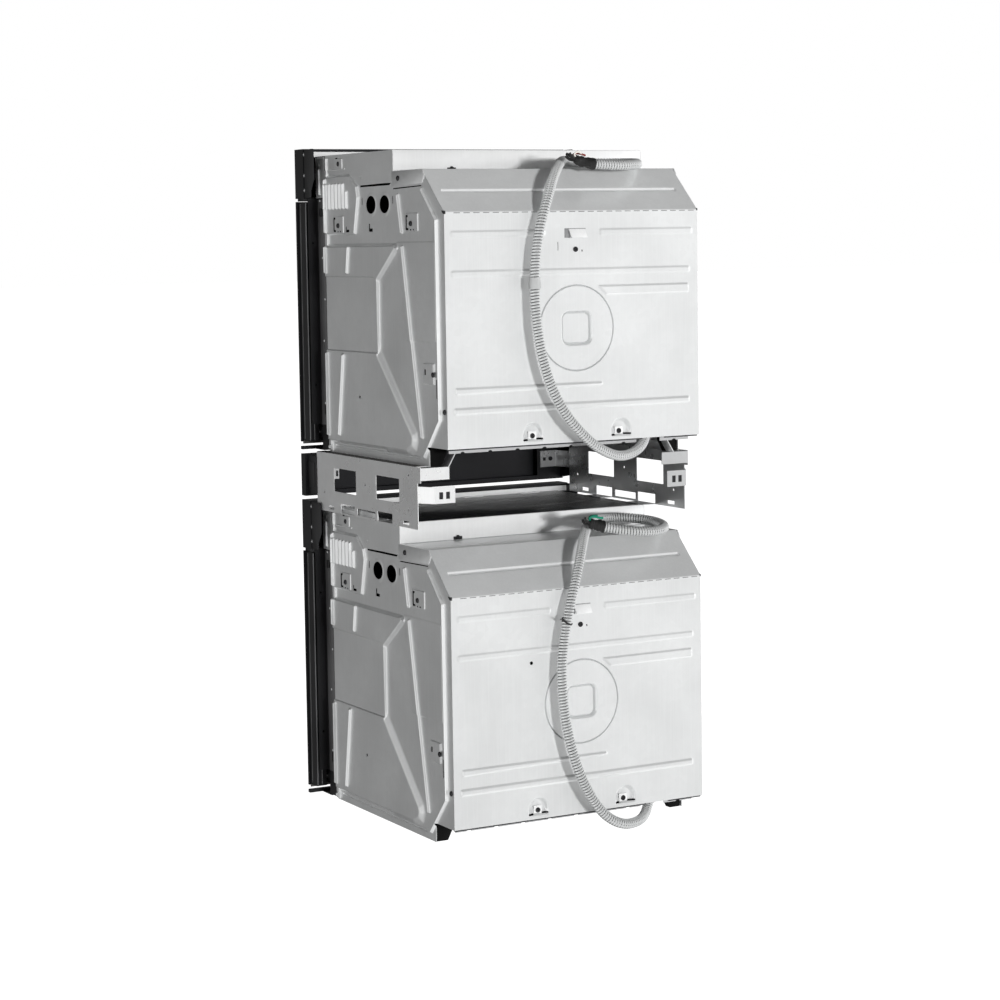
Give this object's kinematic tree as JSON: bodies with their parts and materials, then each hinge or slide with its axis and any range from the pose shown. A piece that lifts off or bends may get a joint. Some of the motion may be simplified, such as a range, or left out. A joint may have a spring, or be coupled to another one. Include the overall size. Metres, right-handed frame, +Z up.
{
  "type": "stacked built-in oven pair",
  "caption": "Pair of built-in electric wall ovens stacked with a sheet-metal spacer bay; galvanised casings, drop-down glass doors, rear flexible supply conduits.",
  "frame": {"origin": "middle of the footprint at floor level", "axes": "+Z up, doors face -Y, rear panels face +Y, +X is the right side seen from the front"},
  "size_m": [0.595, 0.6713, 1.29],
  "materials": {
    "galvanised_sheet": "bright zinc-coated pressed sheet, fine spangle, lightly scuffed",
    "black_enamel": "semi-gloss black enamelled sheet",
    "door_glass": "black back-printed toughened glass",
    "clear_glass": "clear heat-reflecting glass",
    "cavity_enamel": "dark speckled vitreous enamel",
    "seal_rubber": "woven-core silicone door seal",
    "heater_tube": "oxidised heater sheath",
    "fan_steel": "pressed stainless steel",
    "motor_steel": "grey lacquered steel",
    "lamp_glass": "ribbed glass lamp cap",
    "rack_wire": "bright chromed wire",
    "handle_steel": "satin stainless bar",
    "hinge_steel": "plain steel pin",
    "conduit_metal": "interlocked spiral metal conduit, dull zinc",
    "wire_sleeve": "black taped leads",
    "tie_plastic": "plain nylon tie",
    "foot_plastic": "moulded black plastic",
    "screw_steel": "dark sheet-metal screw"
  },
  "bodies": {
    "frame": {"lower_side_panel_right": "galvanised_sheet", "lower_side_panel_left": "galvanised_sheet", "lower_rear_panel": "galvanised_sheet", "lower_base_panel": "galvanised_sheet", "lower_deck_panel": "galvanised_sheet", "lower_top_cover": "galvanised_sheet", "lower_front_frame": "black_enamel", "lower_control_panel": "black_enamel", "lower_cavity": "cavity_enamel", "lower_door_seal": "seal_rubber", "lower_grill_element": "heater_tube", "lower_ring_element": "heater_tube", "lower_fan_cover": "cavity_enamel", "lower_fan_motor": "motor_steel", "lower_blower_housing": "galvanised_sheet", "lower_lamp": "lamp_glass", "lower_terminal_box": "galvanised_sheet", "lower_conduit": "conduit_metal", "lower_wire_tails": "wire_sleeve", "upper_side_panel_right": "galvanised_sheet", "upper_side_panel_left": "galvanised_sheet", "upper_rear_panel": "galvanised_sheet", "upper_base_panel": "galvanised_sheet", "upper_deck_panel": "galvanised_sheet", "upper_top_cover": "galvanised_sheet", "upper_front_frame": "black_enamel", "upper_control_panel": "black_enamel", "upper_cavity": "cavity_enamel", "upper_door_seal": "seal_rubber", "upper_grill_element": "heater_tube", "upper_ring_element": "heater_tube", "upper_fan_cover": "cavity_enamel", "upper_fan_motor": "motor_steel", "upper_blower_housing": "galvanised_sheet", "upper_lamp": "lamp_glass", "upper_terminal_box": "galvanised_sheet", "upper_conduit": "conduit_metal", "upper_wire_tails": "wire_sleeve", "spacer_plate_right": "galvanised_sheet", "spacer_plate_left": "galvanised_sheet", "spacer_front_panel": "black_enamel", "rear_feet": "foot_plastic", "casing_screws": "screw_steel", "conduit_ties": "tie_plastic"},
    "lower_door": {"lower_door_frame": "black_enamel", "lower_door_outer_glass": "door_glass", "lower_door_inner_glass": "clear_glass", "lower_door_handle": "handle_steel", "lower_door_hinge_pins": "hinge_steel"},
    "lower_rack": {"lower_rack": "rack_wire"},
    "lower_fan": {"lower_fan_wheel": "fan_steel"},
    "lower_blower": {"lower_blower_wheel": "fan_steel"},
    "upper_door": {"upper_door_frame": "black_enamel", "upper_door_outer_glass": "door_glass", "upper_door_inner_glass": "clear_glass", "upper_door_handle": "handle_steel", "upper_door_hinge_pins": "hinge_steel"},
    "upper_rack": {"upper_rack": "rack_wire"},
    "upper_fan": {"upper_fan_wheel": "fan_steel"},
    "upper_blower": {"upper_blower_wheel": "fan_steel"}
  },
  "joints": [
    {"name": "lower_door_hinge", "type": "hinge", "parent": "frame", "child": "lower_door", "pos_m": [0, -0.246, 0.036], "axis": [1, 0, 0], "range_deg": [0, 90], "stiffness_Nm_per_rad": 10, "springref_deg": -17.19},
    {"name": "lower_rack_slide", "type": "slide", "parent": "frame", "child": "lower_rack", "axis": [0, -1, 0], "range_m": [0, 0.26]},
    {"name": "lower_fan_spin", "type": "hinge", "parent": "frame", "child": "lower_fan", "pos_m": [0, 0.164, 0.246], "axis": [0, 1, 0], "continuous": true},
    {"name": "lower_blower_spin", "type": "hinge", "parent": "frame", "child": "lower_blower", "pos_m": [0, 0.016, 0.56], "axis": [1, 0, 0], "continuous": true},
    {"name": "upper_door_hinge", "type": "hinge", "parent": "frame", "child": "upper_door", "pos_m": [0, -0.246, 0.731], "axis": [1, 0, 0], "range_deg": [0, 90], "stiffness_Nm_per_rad": 10, "springref_deg": -17.19},
    {"name": "upper_rack_slide", "type": "slide", "parent": "frame", "child": "upper_rack", "axis": [0, -1, 0], "range_m": [0, 0.26]},
    {"name": "upper_fan_spin", "type": "hinge", "parent": "frame", "child": "upper_fan", "pos_m": [0, 0.164, 0.941], "axis": [0, 1, 0], "continuous": true},
    {"name": "upper_blower_spin", "type": "hinge", "parent": "frame", "child": "upper_blower", "pos_m": [0, 0.016, 1.255], "axis": [1, 0, 0], "continuous": true}
  ],
  "couplings": [
    {"joint": "lower_rack_slide", "follows": "lower_door_hinge", "m_per_rad": 0.165},
    {"joint": "upper_rack_slide", "follows": "upper_door_hinge", "m_per_rad": 0.165}
  ]
}
